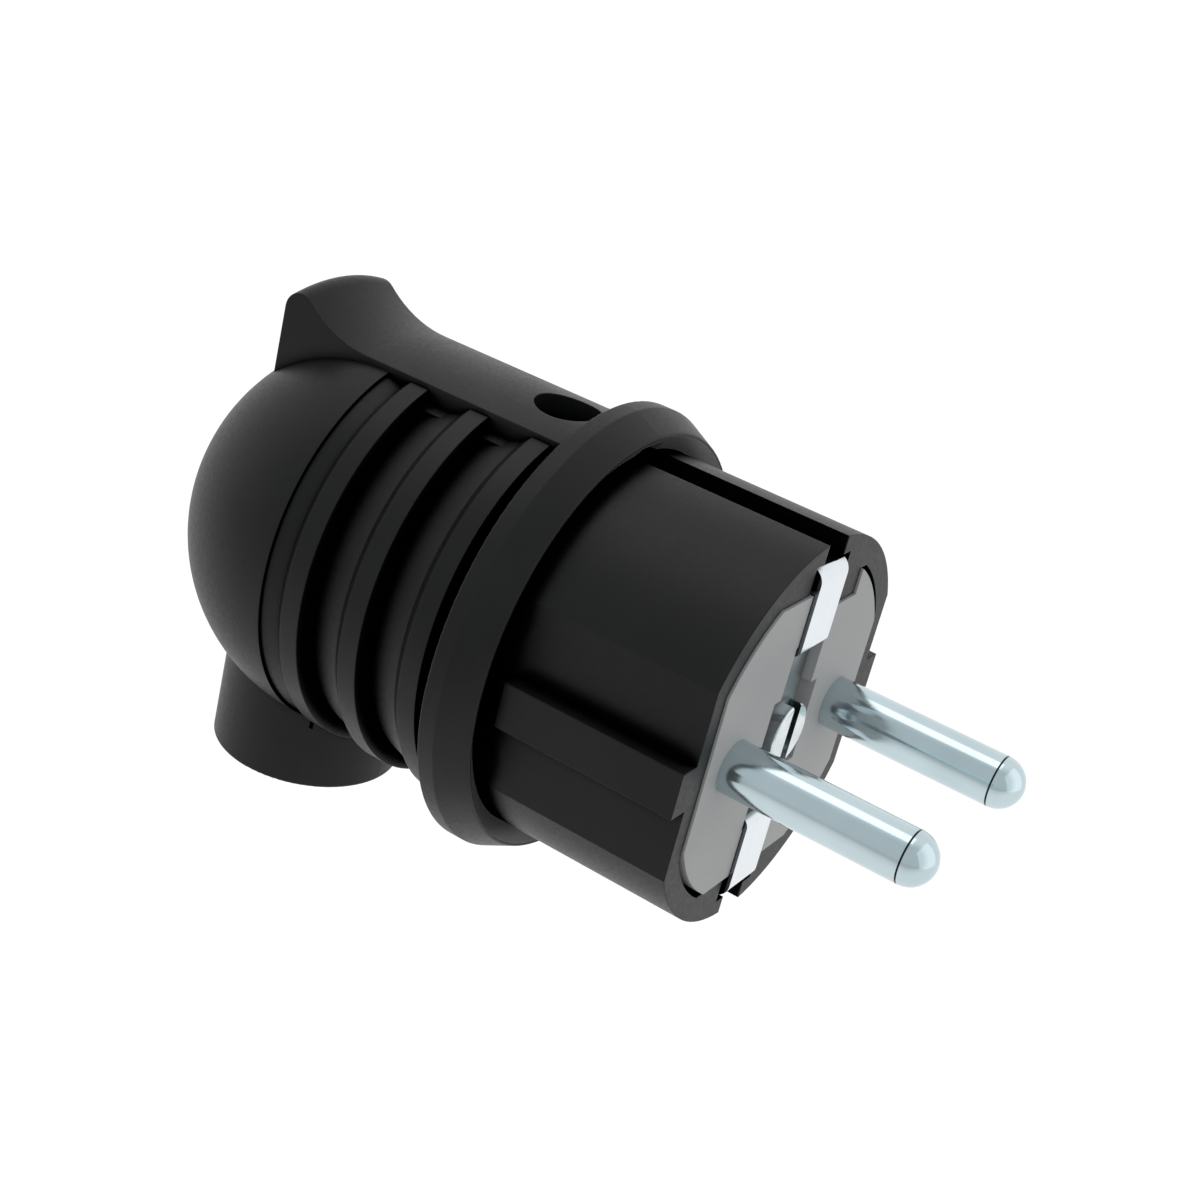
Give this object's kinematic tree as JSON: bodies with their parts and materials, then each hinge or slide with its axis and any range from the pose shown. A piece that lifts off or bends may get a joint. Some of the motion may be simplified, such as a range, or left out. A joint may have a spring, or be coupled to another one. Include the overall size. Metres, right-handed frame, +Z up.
{
  "type": "angled rubber plug",
  "caption": "Angled earthed mains plug in black rubber: round pins, side earth strips, collar, ribbed neck, grip arm and a downward cable outlet.",
  "frame": {"origin": "middle of the contact face, between the roots of the two pins", "axes": "+X the way the pins point, +Z up to the grip arm, away from the cable outlet, +Y from the near pin to the far pin"},
  "size_m": [0.0813, 0.043, 0.047],
  "materials": {
    "black_rubber": "matte moulded rubber",
    "grey_plastic": "matte moulded plastic",
    "plated_metal": "polished nickel plate",
    "earth_metal": "bright plated strip",
    "terminal_brass": "turned brass",
    "screw_steel": "zinc plated steel"
  },
  "bodies": {
    "root": {"front_body": "black_rubber", "rear_shell": "black_rubber", "contact_carrier": "grey_plastic", "carrier_back": "grey_plastic", "cord_clamp_bar": "grey_plastic", "contact_pin_near": "plated_metal", "contact_pin_far": "plated_metal", "earth_strip": "earth_metal", "earth_block": "terminal_brass", "threaded_bush": "terminal_brass", "terminal_screw_near": "screw_steel", "terminal_screw_far": "screw_steel", "earth_screw": "screw_steel", "centre_screw": "screw_steel", "housing_screw": "screw_steel", "housing_washer": "screw_steel", "clamp_screw_near": "screw_steel", "clamp_screw_far": "screw_steel", "clamp_nut_near": "screw_steel", "clamp_nut_far": "screw_steel"}
  },
  "joints": []
}
